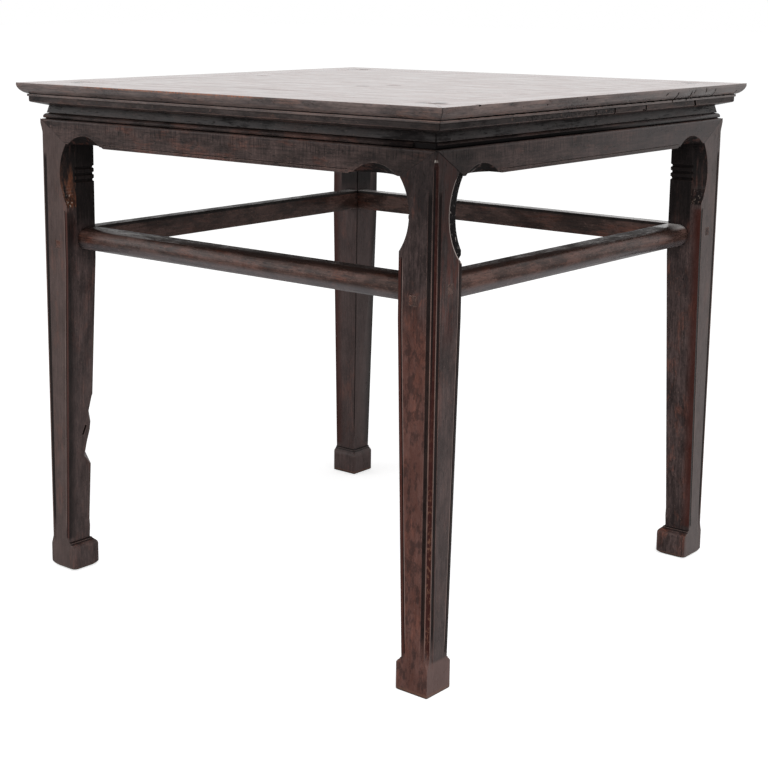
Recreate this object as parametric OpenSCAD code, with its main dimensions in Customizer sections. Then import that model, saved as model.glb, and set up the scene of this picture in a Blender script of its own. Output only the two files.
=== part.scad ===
// Chinese eight immortals table: a square waisted table with a mitred frame-and-panel top,
// a stacked edge, mitred aprons, four high stretchers and tapered legs on inward hoof feet.
// Millimetres, +Z up. The origin is on the floor under the middle of the top.
// The front is -Y and the right is +X.

/* [Overall] */
// Width of the square top, from edge to edge
top_width = 900; // [860:5:1000]
// Height of the top above the floor
table_height = 865; // [820:5:900]
// How far the top overhangs the outer faces of the legs
top_overhang = 28; // [26:1:40]

/* [Top frame] */
// Thickness of the frame
frame_thick = 23; // [22:0.5:27]
// How far the frame's inner edge stands outside the inner faces of the legs
frame_ledge = 5; // [3:0.5:8]
// Straight lip at the top of the moulded edge
edge_lip = 4; // [2:0.5:6]
// How far the moulded edge bulges out from a straight slope
edge_bulge = 2.6; // [2:0.1:3.2]
// Height of the upright band under the moulded edge
edge_band = 4; // [3:0.5:6]
// Height of the fine groove between the band and the moulded edge
edge_line = 0.8; // [0.5:0.1:1.5]
// Depth of that groove
edge_line_depth = 2.5; // [1:0.5:4]
// Thickness of the tenon at each frame corner
corner_tenon_thick = 8; // [6:0.5:9]
// Height of that tenon above the frame's underside
corner_tenon_lift = 7.5; // [7:0.5:9]
// Wood between that tenon and the frame's outer edge
corner_tenon_wall = 14; // [12:1:18]

/* [Top panel] */
// Thickness of the boards
panel_thick = 12; // [10.5:0.5:13]
// Thickness of the tongue around the panel
panel_tongue_thick = 5; // [4:0.5:5.5]
// Length of the tongue that sits in the frame's groove
panel_tongue = 7; // [5:0.5:9]
// Thickness of the tongue between two boards
board_tongue_thick = 3; // [2.5:0.5:3.5]
// Length of the tongue between two boards
board_tongue = 5; // [4:0.5:7]
// Visible seam round the panel and between its boards
panel_seam = 0.5; // [0.3:0.1:1]

/* [Battens] */
// Distance between the two battens under the panel
batten_spacing = 360; // [240:10:440]
// Width of a batten
batten_width = 34; // [30:1:40]
// Depth of a batten below the panel
batten_depth = 21; // [18:1:26]
// Height of the dovetail that slides into the panel
dovetail_height = 4; // [3:0.5:4.5]
// Width of the dovetail at its neck
dovetail_neck = 22; // [16:1:26]
// How much wider the dovetail is at its top
dovetail_flare = 4; // [2:0.5:6]
// Thickness of the tenon at a batten's end
batten_tenon_thick = 7; // [5:0.5:7.5]
// Width of the tenon at a batten's end
batten_tenon_width = 20; // [14:1:26]
// Length of the tenon at a batten's end
batten_tenon_length = 20; // [14:1:24]
// Height of that tenon above the frame's underside
batten_tenon_lift = 2; // [1:0.5:2.5]

/* [Stacked strip] */
// Height of the strip under the frame, where it meets the waist
strip_height = 15.5; // [14:0.5:20]
// Depth of the strip from the waist to its face
strip_depth = 24; // [20:1:25]
// How much lower the strip is at the waist than at its face
strip_slope = 5.5; // [3:0.5:7]
// Rounding of the strip's lower edge
strip_round = 3; // [2:0.5:4]
// How far the frame's lower arris stands out past the strip
strip_reveal = 2; // [0.5:0.5:3]

/* [Strip nails] */
// Number of bamboo nails in each strip
nail_count = 5; // [2:1:6]
// Distance between two nails
nail_pitch = 130; // [90:10:140]
// Diameter of a nail
nail_diameter = 3; // [2.5:0.5:4]
// How deep a nail goes into the waist
nail_bite = 8; // [5:1:10]

/* [Waist] */
// Height from the bead moulding to the underside of the frame
waist_height = 28; // [27:1:36]
// Thickness of the waist at its top
waist_thick = 15; // [13:0.5:17]
// How far the waist's top stands in from the legs' outer faces
waist_setback = 11; // [10:0.5:13]
// How far the waist leans out at its foot
waist_lean = 3; // [1:0.5:4]
// Length of the waist's tongue in the frame
waist_tongue = 5; // [4:0.5:6]
// Thickness of that tongue
waist_tongue_thick = 5.6; // [4:0.2:7]

/* [Bead moulding] */
// Height of the bead moulding on the aprons
bead_height = 10; // [8:0.5:11]
// Radius of its rounded nose
bead_radius = 5.5; // [4.5:0.5:6.5]
// How far the nose stands in from the aprons' faces
bead_setback = 3.5; // [2.5:0.5:5]
// Height of the shadow gap under the nose
bead_quirk = 1.6; // [0.6:0.2:2]
// Depth of that gap
bead_quirk_depth = 3; // [1:0.5:4]
// Shadow line between the nose and the waist
bead_line = 0.8; // [0.3:0.1:1.2]

/* [Aprons] */
// Height of an apron
apron_height = 42.5; // [38:0.5:46]
// Thickness of an apron
apron_thick = 21; // [19:0.5:23]
// Rounding of the apron's upper edge
apron_round = 3.5; // [1:0.5:4]
// Width of the bevelled arch at each end of an apron
apron_arch_width = 82; // [76:2:104]
// Rise of that arch on the apron's face
apron_arch_rise = 16; // [12:0.5:17]
// Depth behind the face at which the arch runs out
apron_bevel_depth = 18; // [15:0.5:18]
// Width of the level shelf between the leg and the arch
apron_shelf = 5; // [4:0.5:10]
// Width of the small step between the arch and the straight edge
apron_step_width = 8; // [5:0.5:12]
// Height of that shelf and step
apron_step = 2.5; // [1.5:0.1:3]

/* [Legs] */
// Width of the square leg above its taper
leg_size = 64; // [61:0.5:68]
// How far below the stretchers the taper starts
taper_drop = 17; // [10:1:80]
// Width of the leg just above the foot
ankle_width = 48; // [44:0.5:50]
// Width of the hoof foot
foot_width = 60; // [56:0.5:61]
// Height of the hoof foot
foot_height = 53; // [44:1:62]
// Rounding of the foot's upper edge
foot_shoulder = 8.5; // [4:0.5:9]
// How much higher the foot's top is at the ankle than at its edge
foot_crown = 2; // [1:0.5:4]
// Rounding of the foot's upright corners
foot_corner = 5; // [3:0.5:8]
// Rounding of the sole's outer edges
sole_round = 2; // [1:0.5:5]
// Rounding of the sole's inner edges
heel_round = 7; // [4:0.5:9]
// Height of the bevelled arch cut out of each outer face under the apron
leg_arch_height = 105; // [90:1:120]
// Depth of that arch on the leg's face
leg_arch_depth = 17; // [14:0.5:20]
// Depth of the arch at the upright line where its bevel ends
leg_arch_back = 1; // [0.5:0.5:4]
// Straight edge left between the apron and the arch
leg_arch_drop = 1; // [0.5:0.5:4]
// Number of grooves round the inner block behind the arch
ring_count = 3; // [2:1:4]
// Distance between two grooves
ring_pitch = 11; // [9:0.5:13]
// Radius of a groove
ring_radius = 2.8; // [2:0.2:3.4]
// How far the grooves' middle lies below the middle of the arch
ring_drop = 0.5; // [0:0.5:8]
// Width of the flat along the inner arris of the leg
arris_flat = 2.8; // [1.6:0.2:4]

/* [Edge mouldings] */
// Radius of the hollow down the leg's outer corner
corner_hollow = 5; // [4:0.5:6]
// Width of the fillet beside the hollow
corner_fillet = 1.6; // [1:0.2:2.4]
// Radius of the cove beside the fillet
cove_radius = 4.5; // [4:0.5:5.5]
// Depth of the cove
cove_depth = 2; // [1.5:0.1:2.4]
// How far below the leg's shoulder the hollow starts
hollow_drop = 7; // [6:1:40]
// How far below the aprons the cove starts
cove_drop = 12; // [10:1:60]
// Height above the floor at which the hollow and the cove end
moulding_stop = 42; // [20:1:60]
// Length over which they run out
moulding_runout = 26; // [16:1:40]
// Width of the flat thread along inner edges
thread_width = 5; // [4:0.5:7]
// Width of the groove beside the thread
thread_groove = 1.5; // [1:0.1:2]
// Depth of that groove
thread_depth = 0.9; // [0.6:0.1:1.4]
// How far below the arch and above the foot the leg's thread starts
thread_stop = 8; // [4:1:20]

/* [Stretchers] */
// Open height between the stretchers and the aprons
window_height = 144; // [140:0.5:200]
// Height of a stretcher
stretcher_height = 38.5; // [38:0.5:42]
// Depth of a stretcher, from its flat back to its round nose
stretcher_depth = 41; // [38:1:46]
// Rounding of the stretcher's back edges
stretcher_round = 2; // [1:0.5:3]
// Thickness of the stretcher's tenon
stretcher_tenon_thick = 13; // [10:0.5:13.5]
// How far the tenon stands in from the round nose
stretcher_tenon_in = 8.5; // [8:0.5:9.5]
// Shoulder left above and below the tenon
stretcher_tenon_edge = 0.6; // [0.4:0.1:1.5]
// Wood between the two through tenons in one leg
tenon_web = 2; // [1.5:0.5:3]

/* [Leg joints] */
// Clearance all round a tenon, tongue or pin
fit_gap = 0.15; // [0.1:0.05:0.25]
// Wood left round and between the two tenons on top of a leg
leg_tenon_web = 2.5; // [2:0.5:3.5]
// Width of the hanging pin behind each apron's end, at its neck
pin_neck = 8; // [6:0.5:10]
// How much wider the pin is at its face
pin_flare = 4; // [2:0.5:6]
// Depth of the pin
pin_depth = 7; // [5:0.5:9]
// Distance from the leg's inner face to the middle of the pin
pin_in = 17; // [14:0.5:20]
// Wood left in the apron above the pin
pin_cover = 5; // [3:0.5:8]

/* [Old break in the front left leg] */
// Height above the floor of the break's deepest point
break_level = 208; // [190:1:240]
// Depth of the break, measured in from the arris
break_depth = 12.5; // [8:0.5:14]
// How far the break runs up from its deepest point
break_rise = 108; // [80:2:120]
// How far the break runs down from its deepest point
break_fall = 23; // [18:1:40]
// Height above the floor of the hollow knot beside the break
knot_level = 255; // [230:1:290]
// Distance from the leg's front face to the hollow knot
knot_in = 36; // [28:1:38]
// Length of the hollow knot
knot_length = 19; // [12:1:24]
// Width of the hollow knot
knot_width = 4.5; // [3:0.5:7]
// Depth of the hollow knot
knot_depth = 9; // [6:1:14]
// Lean of the hollow knot from upright, in degrees
knot_lean = 24; // [0:1:40]

/* [Hidden] */
$fn = 64;
overlap = 1;

// Sides, as quarter turns from the front
front = 0;
right = 1;
back = 2;
left = 3;

// Levels, from the top down
frame_bottom = table_height - frame_thick;
panel_bottom = table_height - panel_thick;
bead_top = frame_bottom - waist_height;
shoulder_level = bead_top - bead_height;
apron_bottom = shoulder_level - apron_height;
stretcher_top = apron_bottom - window_height;
stretcher_middle = stretcher_top - stretcher_height / 2;
taper_top = stretcher_top - stretcher_height - taper_drop;

// Distances outwards from the middle of the table
top_half = top_width / 2;
leg_outer = top_half - top_overhang;
leg_inner = leg_outer - leg_size;
frame_inner = leg_inner + frame_ledge;
waist_outer = leg_outer - waist_setback;
waist_inner = waist_outer - waist_thick;
waist_middle = (waist_outer + waist_inner) / 2;
strip_outer = waist_outer + strip_depth;
strip_face_low = frame_bottom - strip_height + strip_slope;
nail_level = (frame_bottom + strip_face_low + strip_round) / 2;
edge_low = strip_outer + strip_reveal;
apron_inner = leg_outer - apron_thick;
panel_half = frame_inner - panel_seam;
panel_reach = frame_inner + panel_tongue;

// Boards of the panel
board_count = 3;
board_pitch = 2 * panel_half / board_count;
board_tongue_level = (table_height + panel_bottom + panel_tongue_thick - board_tongue_thick) / 2;

// Arches, with the angles of their bevels
mitre_foot = apron_bottom + apron_step;
leg_arch_top = mitre_foot - leg_arch_drop;
leg_arch_bottom = leg_arch_top - leg_arch_height;
leg_arch_level = (leg_arch_top + leg_arch_bottom) / 2;
apron_arch_slant = atan(apron_arch_rise / apron_bevel_depth);
apron_arch_middle = leg_inner - apron_shelf - apron_arch_width / 2;
apron_straight = leg_inner - apron_shelf - apron_arch_width - apron_step_width;

// Top of a leg's blank, before the beds for the aprons are cut
blank_top = shoulder_level + 2 * overlap;

// Tenons on top of a leg, as distances in from its outer faces
core_start = leg_outer - waist_inner;
leg_tenon = (leg_size - core_start - 3 * leg_tenon_web) / 2;
leg_tenon_near = core_start + leg_tenon_web;
leg_tenon_far = leg_size - leg_tenon_web - leg_tenon;

// Stretcher tenons, as distances in from the leg's outer face
nose_radius = stretcher_height / 2;
tenon_near = leg_size - stretcher_depth + stretcher_tenon_in;
tenon_far = tenon_near + stretcher_tenon_thick;
haunch_start = tenon_far + tenon_web;
haunch_half = sqrt(pow(nose_radius, 2) - pow(nose_radius - stretcher_tenon_in, 2)) - stretcher_tenon_edge;
through_height = haunch_half - tenon_web / 2;

// Radius of a circle from a chord and the depth of the arc on it
function arc_radius(chord, depth) = (chord * chord / 4 + depth * depth) / (2 * depth);

// Points along an arc
function arc_points(middle, radius, from, to, steps = 6) =
    [for (i = [0:steps])
        let (angle = from + (to - from) * i / steps)
        [middle[0] + radius * cos(angle), middle[1] + radius * sin(angle)]];

// Width of the leg at a height
function leg_width_at(level) =
    level >= taper_top ? leg_size
    : ankle_width + (leg_size - ankle_width) * (level - foot_height) / (taper_top - foot_height);

// Distance of a point on the diagonal of the leg's plan from the outer corner
function on_diagonal(width) = sqrt(2) * width;

// Turns a piece made for the front to another side
module on_side(side) {
    rotate([0, 0, 90 * side]) children();
}

// Moves a piece made at a leg's outer corner, with X and Y pointing inwards, to a corner
module at_corner(x_side, y_side) {
    mirror([x_side > 0 ? 1 : 0, 0, 0])
        mirror([0, y_side > 0 ? 1 : 0, 0])
            translate([-leg_outer, -leg_outer, 0]) children();
}

// Swaps the leg's two faces
module other_face() {
    mirror([1, -1, 0]) children();
}

// Extrudes a section, drawn as distance outwards by height, along the front
module along_front(length) {
    rotate([90, 0, -90]) linear_extrude(length, center = true) children();
}

// The same over the whole front, mitred at both corners
module mitred_front() {
    intersection() {
        along_front(top_width) children();
        linear_extrude(table_height + overlap)
            polygon([[0, 0], [top_half, -top_half], [-top_half, -top_half]]);
    }
}

// Extrudes an elevation, drawn as X by height, inwards from a distance outwards
module into_front(outer, depth) {
    translate([0, depth - outer, 0]) rotate([90, 0, 0]) linear_extrude(depth) children();
}

// ---- Top frame ----

// Moulded edge over a fine groove and an upright band
module frame_section() {
    foot = frame_bottom + edge_band + edge_line;
    height = table_height - foot;
    run = top_half - edge_low;
    rise = height - edge_lip;
    chord = norm([run, rise]);
    radius = arc_radius(chord, edge_bulge);
    back_off = (radius - edge_bulge) / chord;
    middle = [(top_half + edge_low) / 2 - rise * back_off, foot + rise / 2 + run * back_off];
    translate([frame_inner, frame_bottom]) square([edge_low - frame_inner, edge_band]);
    translate([frame_inner, frame_bottom])
        square([edge_low - edge_line_depth - frame_inner, frame_thick]);
    intersection() {
        translate([frame_inner, foot]) square([top_half - frame_inner, height]);
        union() {
            translate(middle) circle(radius);
            translate([frame_inner, foot]) square([middle[0] - frame_inner, height]);
            translate([frame_inner, table_height - edge_lip])
                square([top_half - frame_inner, edge_lip]);
        }
    }
}

// Grooves for the panel's tongue and the waist's tongue
module frame_grooves() {
    translate([frame_inner - overlap, panel_bottom - fit_gap])
        square([panel_tongue + 2 * overlap, panel_tongue_thick + 2 * fit_gap]);
    translate([waist_middle - waist_tongue_thick / 2 - fit_gap, frame_bottom - overlap])
        square([waist_tongue_thick + 2 * fit_gap, waist_tongue + overlap + fit_gap]);
}

// Mortises for the tenon of each leg that comes up through this member
module leg_tenon_holes() {
    side = leg_tenon + 2 * fit_gap;
    for (end = [-1, 1])
        translate([end * (leg_outer - leg_tenon_far - leg_tenon / 2),
                   leg_tenon_near + leg_tenon / 2 - leg_outer,
                   frame_bottom + frame_thick / 2])
            cube([side, side, frame_thick + 2 * overlap], center = true);
}

module frame_blank() {
    difference() {
        mitred_front() difference() {
            frame_section();
            frame_grooves();
        }
        leg_tenon_holes();
    }
}

// The tenons beyond the two mitres of a long frame member
module corner_tenons(gap) {
    low = waist_inner - gap;
    high = top_half - corner_tenon_wall + gap;
    for (side = [0, 1])
        mirror([side, 0, 0])
            translate([0, 0, frame_bottom + corner_tenon_lift - gap])
                linear_extrude(corner_tenon_thick + 2 * gap)
                    polygon([[low - overlap, -low], [high, -low], [high, -high]]);
}

// A frame member with tenons at its ends, and mortises for the battens
module frame_long(side) {
    color("#3b2b26") on_side(side) difference() {
        union() {
            frame_blank();
            corner_tenons(0);
        }
        for (end = [-1, 1])
            translate([end * batten_spacing / 2, 0, 0]) batten_tenon(fit_gap);
    }
}

// A frame member with mortises at its ends
module frame_short(side) {
    color("#3b2b26") on_side(side) difference() {
        frame_blank();
        on_side(1) corner_tenons(fit_gap);
        on_side(-1) corner_tenons(fit_gap);
    }
}

// ---- Panel and battens ----

// One board, counted from the front: the outer boards reach into the frame's grooves
module top_board(index) {
    first = index == 0;
    last = index == board_count - 1;
    y_front = -panel_half + index * board_pitch + (first ? 0 : panel_seam / 2);
    y_back = -panel_half + (index + 1) * board_pitch - (last ? 0 : panel_seam / 2);
    tongue_front = first ? -panel_reach : y_front;
    tongue_back = last ? panel_reach : y_back;
    color("#4a342c") difference() {
        union() {
            translate([-panel_half, y_front, panel_bottom])
                cube([2 * panel_half, y_back - y_front, panel_thick]);
            translate([-panel_reach, tongue_front, panel_bottom])
                cube([2 * panel_reach, tongue_back - tongue_front, panel_tongue_thick]);
            if (!last)
                translate([-panel_half, y_back - overlap, board_tongue_level])
                    cube([2 * panel_half, board_tongue + overlap, board_tongue_thick]);
        }
        if (!first)
            translate([-panel_reach - overlap, y_front - overlap, board_tongue_level - fit_gap])
                cube([2 * (panel_reach + overlap), board_tongue + overlap,
                      board_tongue_thick + 2 * fit_gap]);
        for (end = [-1, 1])
            translate([end * batten_spacing / 2, 0, 0])
                batten_dovetail(2 * (panel_reach + overlap), fit_gap);
    }
}

// The dovetail along the top of a batten
module batten_dovetail(length, gap) {
    neck = dovetail_neck / 2 + gap;
    face = neck + dovetail_flare / 2;
    low = panel_bottom - overlap;
    high = panel_bottom + dovetail_height + gap;
    rotate([90, 0, 0]) linear_extrude(length, center = true)
        polygon([[-neck, low], [neck, low], [neck, panel_bottom], [face, high],
                 [-face, high], [-neck, panel_bottom]]);
}

// The tenon at a batten's front end
module batten_tenon(gap) {
    width = batten_tenon_width + 2 * gap;
    translate([-width / 2, -frame_inner - batten_tenon_length - gap,
               frame_bottom + batten_tenon_lift - gap])
        cube([width, batten_tenon_length + gap + overlap, batten_tenon_thick + 2 * gap]);
}

module batten(x_side) {
    color("#33261f") translate([x_side * batten_spacing / 2, 0, 0]) {
        translate([-batten_width / 2, -frame_inner, panel_bottom - batten_depth])
            cube([batten_width, 2 * frame_inner, batten_depth]);
        batten_dovetail(2 * panel_half, 0);
        batten_tenon(0);
        mirror([0, 1, 0]) batten_tenon(0);
    }
}

// ---- Stacked strip, its nails, waist and bead moulding ----

module strip_section() {
    round_middle = [strip_outer - strip_round, strip_face_low + strip_round];
    polygon(concat(
        [[waist_outer, frame_bottom], [waist_outer, frame_bottom - strip_height]],
        arc_points(round_middle, strip_round, -75, 0),
        [[strip_outer, frame_bottom]]));
}

// The nails through one side's strip into the waist
module nails(gap) {
    start = waist_outer - nail_bite - gap;
    length = strip_outer - start + (gap > 0 ? overlap : 0);
    for (i = [0:nail_count - 1])
        translate([(i - (nail_count - 1) / 2) * nail_pitch, -start, nail_level])
            rotate([90, 0, 0]) cylinder(d = nail_diameter + 2 * gap, h = length, $fn = 24);
}

module strip(side) {
    color("#2e2420") on_side(side) difference() {
        mitred_front() strip_section();
        nails(fit_gap);
    }
}

module strip_nails() {
    color("#5a4632") for (side = [front, right, back, left]) on_side(side) nails(0);
}

module waist_section() {
    strip_bottom = frame_bottom - strip_height;
    polygon([[waist_inner, bead_top], [waist_outer + waist_lean, bead_top], [waist_outer, strip_bottom],
             [waist_outer, frame_bottom], [waist_inner, frame_bottom]]);
    translate([waist_middle - waist_tongue_thick / 2, frame_bottom - overlap])
        square([waist_tongue_thick, waist_tongue + overlap]);
}

module waist(side) {
    color("#2b211d") on_side(side) difference() {
        mitred_front() waist_section();
        nails(fit_gap);
    }
}

module bead_section() {
    nose = [leg_outer - bead_setback - bead_radius, bead_top - bead_line - bead_radius];
    quirk_end = nose[0] + bead_radius - bead_quirk_depth;
    translate([waist_inner, shoulder_level]) square([waist_outer - waist_inner, bead_height]);
    translate([waist_inner, shoulder_level]) square([nose[0] - waist_inner, bead_height - bead_line]);
    translate([waist_inner, shoulder_level]) square([quirk_end - waist_inner, bead_radius]);
    intersection() {
        translate(nose) circle(bead_radius);
        translate([nose[0] - overlap, shoulder_level + bead_quirk])
            square([bead_radius + 2 * overlap, bead_height]);
    }
}

module bead(side) {
    color("#33271f") on_side(side) mitred_front() bead_section();
}

// ---- Aprons ----

module apron_section() {
    round_middle = [leg_outer - apron_round, shoulder_level - apron_round];
    polygon(concat(
        [[apron_inner, shoulder_level], [apron_inner, apron_bottom - overlap],
         [leg_outer, apron_bottom - overlap]],
        arc_points(round_middle, apron_round, 0, 90)));
}

// The apron's elevation between its mitres with the legs, before its arches are cut
module apron_elevation() {
    half = [[apron_straight, apron_bottom], [apron_straight + apron_step_width / 2, mitre_foot],
            [leg_inner, mitre_foot], [leg_outer, shoulder_level],
            [leg_outer, shoulder_level + overlap]];
    polygon(concat(half, [for (i = [len(half) - 1:-1:0]) [-half[i][0], half[i][1]]]));
}

// The round arch at the apron's right end, which slants down from the face to the underside
module apron_arch() {
    rise = apron_arch_rise * cos(apron_arch_slant);
    radius = arc_radius(apron_arch_width, rise);
    half_turn = acos((radius - rise - overlap) / radius);
    translate([apron_arch_middle, -leg_outer, mitre_foot])
        rotate([90 - apron_arch_slant, 0, 0])
            linear_extrude(4 * apron_thick, center = true)
                polygon(arc_points([0, rise - radius], radius, 90 - half_turn, 90 + half_turn, 18));
}

// The dovetailed pin on the leg, behind the end of the apron on the leg's front face
module hanging_pin(gap) {
    neck = pin_neck / 2 + gap;
    face = neck + pin_flare / 2;
    low = mitre_foot - (gap > 0 ? overlap : 0);
    translate([leg_size - pin_in, 0, low])
        linear_extrude(shoulder_level - pin_cover + gap - low)
            polygon([[-neck, apron_thick + overlap], [neck, apron_thick + overlap], [neck, apron_thick],
                     [face, apron_thick - pin_depth - gap], [-face, apron_thick - pin_depth - gap],
                     [-neck, apron_thick]]);
}

module apron(side) {
    color("#3e2e29") on_side(side) difference() {
        intersection() {
            mitred_front() apron_section();
            into_front(leg_outer + overlap, apron_thick + 2 * overlap) apron_elevation();
        }
        into_front(leg_outer + overlap, thread_depth + overlap)
            translate([-apron_straight, apron_bottom + thread_width])
                square([2 * apron_straight, thread_groove]);
        for (end = [-1, 1])
            at_corner(end, -1) hanging_pin(fit_gap);
        for (end = [0, 1])
            mirror([end, 0, 0]) apron_arch();
    }
}

// ---- Legs, made at their outer corner with X and Y pointing inwards ----

// Extrudes a face's elevation from near the outer face inwards
module into_leg(depth, before = 0) {
    translate([0, depth, 0]) rotate([90, 0, 0]) linear_extrude(depth + before) children();
}

// One face of the leg's blank, as distance in from the outer face by height
module leg_outline() {
    shoulder_middle = [foot_width - foot_shoulder, foot_height - foot_crown - foot_shoulder];
    polygon(concat(
        [[0, blank_top]],
        arc_points([sole_round, sole_round], sole_round, 180, 270, 4),
        arc_points([foot_width - heel_round, heel_round], heel_round, -90, 0),
        arc_points(shoulder_middle, foot_shoulder, 0, 75),
        [[ankle_width, foot_height], [leg_size, taper_top], [leg_size, blank_top]]));
}

// Plan of the foot, whose inner and side corners are rounded
module foot_plan() {
    far = foot_width - foot_corner;
    polygon(concat(
        [[0, 0]],
        arc_points([far, foot_corner], foot_corner, -90, 0),
        arc_points([far, far], foot_corner, 0, 90),
        arc_points([foot_corner, far], foot_corner, 90, 180)));
}

module leg_blank() {
    intersection() {
        into_leg(leg_size) leg_outline();
        other_face() into_leg(leg_size) leg_outline();
        union() {
            linear_extrude(foot_height) foot_plan();
            translate([0, 0, foot_height]) cube([leg_size, leg_size, table_height]);
        }
    }
}

// Room for the mitred end of the apron on the front face
module apron_bed() {
    slope = (shoulder_level - mitre_foot) / leg_size;
    far = leg_size + overlap;
    into_leg(apron_thick, overlap)
        polygon([[-overlap, shoulder_level + slope * overlap],
                 [far, mitre_foot - slope * overlap],
                 [far, blank_top + overlap], [-overlap, blank_top + overlap]]);
}

// Level top of the inner block, between the two mitred beds
module block_top() {
    near = apron_thick - overlap;
    translate([near, near, shoulder_level]) cube([leg_size, leg_size, 3 * overlap]);
}

// The arch on the front face, which grows shallower towards the upright line at its back
module leg_arch() {
    start = leg_arch_depth + overlap * (leg_arch_depth - leg_arch_back) / apron_thick;
    radius = arc_radius(leg_arch_height, start);
    half_turn = asin(leg_arch_height / 2 / radius);
    translate([leg_size, -overlap, leg_arch_level])
        rotate([-90, 0, 0])
            linear_extrude(apron_thick + overlap, scale = [leg_arch_back / start, 1], slices = 1, $fn = 0)
                polygon(concat(
                    [[overlap, leg_arch_height / 2]],
                    arc_points([radius - start, 0], radius, 180 - half_turn, 180 + half_turn, 20),
                    [[overlap, -leg_arch_height / 2]]));
}

// Grooves across the inner face, behind the arch
module ring_grooves() {
    for (i = [0:ring_count - 1])
        translate([leg_size, apron_thick - overlap,
                   leg_arch_level - ring_drop + (i - (ring_count - 1) / 2) * ring_pitch])
            rotate([-90, 0, 0]) cylinder(r = ring_radius, h = leg_size, $fn = 32);
}

// An upright round cutter, reaching in from Y = 0, that runs out towards both of its ends
module running_cutter(radius, depth, high) {
    low = moulding_stop;
    outside = depth - 2 * radius - overlap;
    inside = depth + overlap;
    intersection() {
        translate([0, depth - radius, low]) cylinder(r = radius, h = high - low);
        rotate([90, 0, 90]) linear_extrude(2 * radius + overlap, center = true)
            polygon([[outside, low - overlap], [0, low], [inside, low + moulding_runout],
                     [inside, high - moulding_runout], [0, high], [outside, high + overlap]]);
    }
}

// Hollow down the outer corner, and the cove beside it on the front face
module corner_hollow_cut() {
    rotate([0, 0, -45]) running_cutter(corner_hollow, corner_hollow, shoulder_level - hollow_drop);
}

module cove_cut() {
    half_width = sqrt(pow(cove_radius, 2) - pow(cove_radius - cove_depth, 2));
    translate([corner_hollow + corner_fillet + half_width, 0, 0])
        running_cutter(cove_radius, cove_depth, apron_bottom - cove_drop);
}

// Groove beside the flat thread on the front face, parallel to the leg's inner edge
module thread_cut() {
    low = foot_height + thread_stop;
    high = leg_arch_bottom - thread_stop;
    near = thread_width + thread_groove;
    into_leg(thread_depth, overlap)
        polygon([[leg_width_at(low) - near, low], [leg_width_at(low) - thread_width, low],
                 [leg_size - thread_width, taper_top], [leg_size - thread_width, high],
                 [leg_size - near, high], [leg_size - near, taper_top]]);
}

// Extrudes a shape, drawn as distance along the plan's diagonal by height
module across_diagonal() {
    rotate([0, 0, 45]) rotate([90, 0, 0])
        linear_extrude(2 * leg_size, center = true) children();
}

// Flat along the leg's inner arris, which starts with a run-out above the foot
module arris_cut() {
    start = foot_height + thread_stop;
    end = start + moulding_runout;
    full = on_diagonal(leg_size) - arris_flat / 2;
    outside = on_diagonal(leg_size) + overlap;
    across_diagonal()
        polygon([[on_diagonal(leg_width_at(start)) + arris_flat / 2, start],
                 [on_diagonal(leg_width_at(end)) - arris_flat / 2, end],
                 [full, taper_top], [full, blank_top + overlap],
                 [outside, blank_top + overlap], [outside, start]]);
}

// Height of the lower side of a through tenon
function through_level(upper) =
    upper ? stretcher_middle + tenon_web / 2
    : stretcher_middle - tenon_web / 2 - through_height;

// Mortise for the stretcher that comes in through the inner face, along X
module stretcher_mortise(upper) {
    thick = stretcher_tenon_thick + 2 * fit_gap;
    y_start = tenon_near - fit_gap;
    translate([-overlap, y_start, through_level(upper) - fit_gap])
        cube([leg_size + 2 * overlap, thick, through_height + 2 * fit_gap]);
    translate([haunch_start - fit_gap, y_start, stretcher_middle - haunch_half - fit_gap])
        cube([leg_size, thick, 2 * (haunch_half + fit_gap)]);
}

// Core that rises behind the waist to the frame, and the two tenons through the frame
module leg_core() {
    side = leg_size - core_start;
    translate([core_start, core_start, shoulder_level - overlap])
        cube([side, side, frame_bottom - shoulder_level + overlap]);
    for (place = [[leg_tenon_far, leg_tenon_near], [leg_tenon_near, leg_tenon_far]])
        translate([place[0], place[1], frame_bottom - overlap])
            cube([leg_tenon, leg_tenon, frame_thick + overlap]);
}

module leg_shape() {
    difference() {
        leg_blank();
        block_top();
        arris_cut();
        corner_hollow_cut();
        for (face = [front, right])
            mirror([face, -face, 0]) {
                apron_bed();
                leg_arch();
                ring_grooves();
                cove_cut();
                thread_cut();
                stretcher_mortise(face == front);
            }
    }
    hanging_pin(0);
    other_face() hanging_pin(0);
    leg_core();
}

// The piece broken out of the inner arris, as shares of its depth by shares of its height
module arris_break() {
    arris = on_diagonal(leg_width_at(break_level));
    outside = arris + break_depth;
    above = [[-0.2, 1], [0.35, 0.71], [0.11, 0.54], [0.24, 0.4], [0.71, 0.18], [1, 0]];
    across_diagonal()
        polygon(concat(
            [[outside, break_level + break_rise]],
            [for (point = above) [arris - point[0] * break_depth, break_level + point[1] * break_rise]],
            [[arris, break_level - break_fall], [outside, break_level - break_fall]]));
}

// A hollow knot in the inner face
module hollow_knot() {
    half = (knot_length - knot_width) / 2;
    translate([leg_width_at(knot_level) - knot_depth, knot_in, knot_level])
        rotate([-knot_lean, 0, 0]) rotate([90, 0, 90]) linear_extrude(leg_size) {
            square([knot_width, 2 * half], center = true);
            translate([0, half]) circle(d = knot_width, $fn = 24);
            translate([0, -half]) circle(d = knot_width, $fn = 24);
        }
}

module leg(x_side, y_side, broken = false) {
    color("#43302a") at_corner(x_side, y_side) difference() {
        leg_shape();
        if (broken) {
            arris_break();
            hollow_knot();
        }
    }
}

// ---- Stretchers ----

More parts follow.
